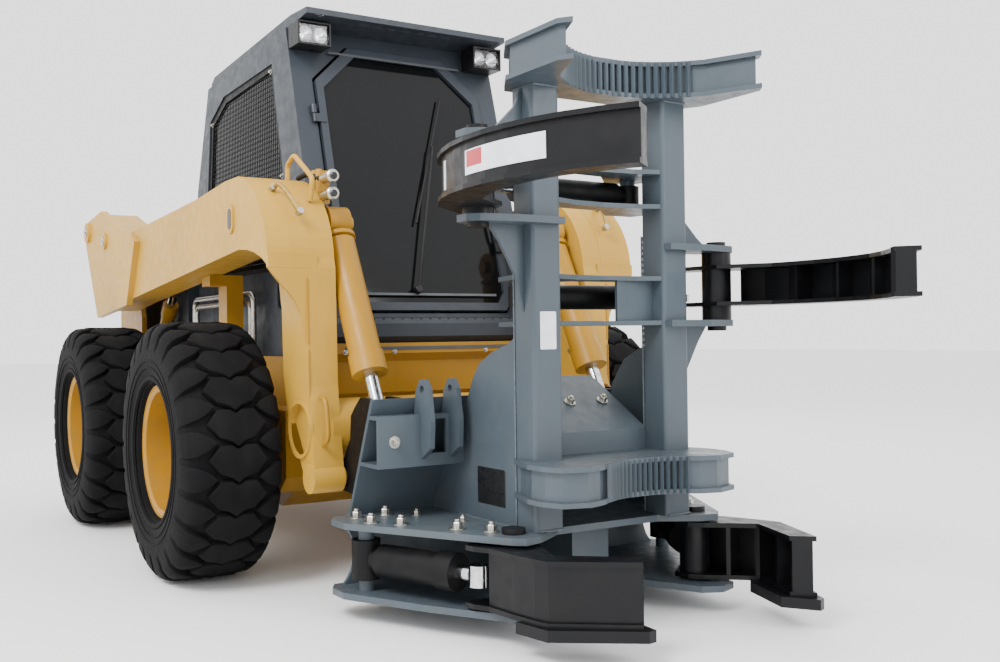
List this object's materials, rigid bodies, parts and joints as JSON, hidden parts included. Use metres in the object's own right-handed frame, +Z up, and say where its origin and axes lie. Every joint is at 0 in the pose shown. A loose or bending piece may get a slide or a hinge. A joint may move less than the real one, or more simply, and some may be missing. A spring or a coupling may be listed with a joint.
{
  "type": "skid steer loader with tree shear",
  "caption": "Wheeled skid steer loader with a closed cab and lift arms, carrying an upright tree shear head with grapple arms above shear arms.",
  "frame": {"origin": "on the ground under the middle of the wheelbase, on the centre line", "axes": "+X forward towards the tree shear, +Y to the machine's left, +Z up"},
  "size_m": [4.5064, 2.06, 2.116],
  "materials": {
    "loader_yellow": "semi-gloss paint, lightly weathered",
    "cab_grey": "satin paint",
    "head_grey": "semi-gloss blue-grey paint",
    "arm_black": "gloss black paint",
    "tyre_rubber": "worn rubber",
    "rim_yellow": "semi-gloss paint",
    "cylinder_yellow": "semi-gloss paint",
    "cylinder_black": "gloss black paint",
    "rod_chrome": "hard chrome",
    "engine_iron": "painted iron",
    "clear_glass": "dark tinted glass",
    "lamp_plastic": "black lamp housings",
    "screen_black": "black expanded mesh",
    "seat_vinyl": "black vinyl",
    "control_plastic": "moulded black plastic",
    "pipe_steel": "plated steel"
  },
  "bodies": {
    "chassis": {"chassis_tub": "loader_yellow", "axle_housings": "engine_iron", "rear_towers": "loader_yellow", "engine_block": "engine_iron", "engine_hood": "cab_grey", "rear_bumper": "cab_grey", "cab_frame": "cab_grey", "cab_roof": "cab_grey", "headlights": "lamp_plastic", "side_screens": "screen_black", "rear_window": "clear_glass", "front_panel": "loader_yellow", "step_bar": "cab_grey", "seat": "seat_vinyl", "controls": "control_plastic", "boom_rests": "loader_yellow", "hydraulic_pipes": "pipe_steel"},
    "wheel_front_left": {"tyre_front_left": "tyre_rubber", "rim_front_left": "rim_yellow"},
    "wheel_front_right": {"tyre_front_right": "tyre_rubber", "rim_front_right": "rim_yellow"},
    "wheel_rear_left": {"tyre_rear_left": "tyre_rubber", "rim_rear_left": "rim_yellow"},
    "wheel_rear_right": {"tyre_rear_right": "tyre_rubber", "rim_rear_right": "rim_yellow"},
    "rear_door": {"rear_door": "loader_yellow"},
    "cab_door": {"cab_door": "cab_grey", "door_glass": "clear_glass"},
    "boom": {"boom_arms": "loader_yellow", "hose_guard": "loader_yellow"},
    "lift_barrels": {"lift_barrels": "cylinder_yellow"},
    "lift_rods": {"lift_rods": "rod_chrome"},
    "tilt_barrels": {"tilt_barrels": "cylinder_yellow"},
    "tilt_rods": {"tilt_rods": "rod_chrome"},
    "head": {"quick_coupler": "head_grey", "mount_plate": "head_grey", "upper_deck": "head_grey", "lower_deck": "head_grey", "side_gussets": "head_grey", "mast_posts": "head_grey", "upper_yoke": "head_grey", "lower_yoke": "head_grey", "mast_cross_plates": "head_grey", "guard_plate": "head_grey", "grapple_brackets": "head_grey"},
    "grapple_arm_right": {"grapple_arm_right": "arm_black"},
    "grapple_barrel_right": {"grapple_barrel_right": "cylinder_black"},
    "grapple_rod_right": {"grapple_rod_right": "rod_chrome"},
    "grapple_arm_left": {"grapple_arm_left": "arm_black"},
    "grapple_barrel_left": {"grapple_barrel_left": "cylinder_black"},
    "grapple_rod_left": {"grapple_rod_left": "rod_chrome"},
    "shear_arm_right": {"shear_arm_right": "arm_black"},
    "shear_barrel_right": {"shear_barrel_right": "cylinder_black"},
    "shear_rod_right": {"shear_rod_right": "rod_chrome"},
    "shear_arm_left": {"shear_arm_left": "arm_black"},
    "shear_barrel_left": {"shear_barrel_left": "cylinder_black"},
    "shear_rod_left": {"shear_rod_left": "rod_chrome"}
  },
  "joints": [
    {"name": "wheel_front_left_spin", "type": "hinge", "parent": "chassis", "child": "wheel_front_left", "pos_m": [0.7, 0, 0.4625], "axis": [0, 1, 0], "continuous": true},
    {"name": "wheel_front_right_spin", "type": "hinge", "parent": "chassis", "child": "wheel_front_right", "pos_m": [0.7, 0, 0.4625], "axis": [0, 1, 0], "continuous": true},
    {"name": "wheel_rear_left_spin", "type": "hinge", "parent": "chassis", "child": "wheel_rear_left", "pos_m": [-0.7, 0, 0.4625], "axis": [0, 1, 0], "continuous": true},
    {"name": "wheel_rear_right_spin", "type": "hinge", "parent": "chassis", "child": "wheel_rear_right", "pos_m": [-0.7, 0, 0.4625], "axis": [0, 1, 0], "continuous": true},
    {"name": "rear_door_swing", "type": "hinge", "parent": "chassis", "child": "rear_door", "pos_m": [-1.508, -0.462, 0], "axis": [0, 0, 1], "range_deg": [0, 100]},
    {"name": "cab_door_swing", "type": "hinge", "parent": "chassis", "child": "cab_door", "pos_m": [0.95289, -0.392, 0.95581], "axis": [0.2696, 0, -0.963], "range_deg": [0, 85]},
    {"name": "boom_lift", "type": "hinge", "parent": "chassis", "child": "boom", "pos_m": [-1.306, 0, 1.432], "axis": [0, -1, 0], "range_deg": [0, 58]},
    {"name": "lift_barrel_swing", "type": "hinge", "parent": "chassis", "child": "lift_barrels", "pos_m": [-1.2, 0, 0.43], "axis": [0, -1, 0], "range_deg": [0, 19.48]},
    {"name": "lift_rod_slide", "type": "slide", "parent": "lift_barrels", "child": "lift_rods", "axis": [0.6441, 0, 0.765], "range_m": [0, 0.61406]},
    {"name": "head_tilt", "type": "hinge", "parent": "boom", "child": "head", "pos_m": [1.226, 0, 0.393], "axis": [0, 1, 0], "range_deg": [-8, 55]},
    {"name": "tilt_barrel_swing", "type": "hinge", "parent": "boom", "child": "tilt_barrels", "pos_m": [1.066, 0, 1.263], "axis": [0, 1, 0], "range_deg": [-0.0752, 0.5114]},
    {"name": "tilt_rod_slide", "type": "slide", "parent": "tilt_barrels", "child": "tilt_rods", "axis": [0.451, 0, -0.8925], "range_m": [-0.03715, 0.25536]},
    {"name": "grapple_right_swing", "type": "hinge", "parent": "head", "child": "grapple_arm_right", "pos_m": [1.994, -0.452, 0], "axis": [0, 0, -1], "range_deg": [-75, 0]},
    {"name": "grapple_barrel_right_swing", "type": "hinge", "parent": "head", "child": "grapple_barrel_right", "pos_m": [1.847, 0.212, 0], "axis": [0, 0, -1], "range_deg": [-2.75, 0]},
    {"name": "grapple_rod_right_slide", "type": "slide", "parent": "grapple_barrel_right", "child": "grapple_rod_right", "axis": [0.0326, -0.9995, 0], "range_m": [-0.00001, 0.16467]},
    {"name": "grapple_left_swing", "type": "hinge", "parent": "head", "child": "grapple_arm_left", "pos_m": [1.994, 0.452, 0], "axis": [0, 0, 1], "range_deg": [-61, 14]},
    {"name": "grapple_barrel_left_swing", "type": "hinge", "parent": "head", "child": "grapple_barrel_left", "pos_m": [1.847, -0.212, 0], "axis": [0, 0, 1], "range_deg": [-3.66, 0.84]},
    {"name": "grapple_rod_left_slide", "type": "slide", "parent": "grapple_barrel_left", "child": "grapple_rod_left", "axis": [0.0167, 0.9999, 0], "range_m": [-0.03043, 0.13257]},
    {"name": "shear_right_swing", "type": "hinge", "parent": "head", "child": "shear_arm_right", "pos_m": [1.99, -0.345, 0], "axis": [0, 0, -1], "range_deg": [-30, 30]},
    {"name": "shear_barrel_right_swing", "type": "hinge", "parent": "head", "child": "shear_barrel_right", "pos_m": [1.56, -0.598, 0], "axis": [0, 0, 1], "range_deg": [-6.62, 6.62]},
    {"name": "shear_rod_right_slide", "type": "slide", "parent": "shear_barrel_right", "child": "shear_rod_right", "axis": [0.9228, 0.3853, 0], "range_m": [-0.02136, 0.02136]},
    {"name": "shear_left_swing", "type": "hinge", "parent": "head", "child": "shear_arm_left", "pos_m": [1.99, 0.345, 0], "axis": [0, 0, 1], "range_deg": [-59, 1]},
    {"name": "shear_barrel_left_swing", "type": "hinge", "parent": "head", "child": "shear_barrel_left", "pos_m": [1.56, 0.598, 0], "axis": [0, 0, -1], "range_deg": [-9.8, 0.17]},
    {"name": "shear_rod_left_slide", "type": "slide", "parent": "shear_barrel_left", "child": "shear_rod_left", "axis": [0.8744, -0.4853, 0], "range_m": [-0.00112, 0.06578]}
  ],
  "couplings": [
    {"joint": "lift_barrel_swing", "follows": "boom_lift", "ratio": 0.33584},
    {"joint": "lift_rod_slide", "follows": "boom_lift", "m_per_rad": 0.6066},
    {"joint": "tilt_barrel_swing", "follows": "head_tilt", "ratio": 0.0092804},
    {"joint": "tilt_rod_slide", "follows": "head_tilt", "m_per_rad": 0.26601},
    {"joint": "grapple_barrel_right_swing", "follows": "grapple_right_swing", "ratio": 0.036595},
    {"joint": "grapple_rod_right_slide", "follows": "grapple_right_swing", "m_per_rad": -0.12579},
    {"joint": "grapple_barrel_left_swing", "follows": "grapple_left_swing", "ratio": 0.05995},
    {"joint": "grapple_rod_left_slide", "follows": "grapple_left_swing", "m_per_rad": -0.12451},
    {"joint": "shear_barrel_right_swing", "follows": "shear_right_swing", "ratio": 0.22057},
    {"joint": "shear_rod_right_slide", "follows": "shear_right_swing", "m_per_rad": -0.040771},
    {"joint": "shear_barrel_left_swing", "follows": "shear_left_swing", "ratio": 0.16607},
    {"joint": "shear_rod_left_slide", "follows": "shear_left_swing", "m_per_rad": -0.063867}
  ]
}
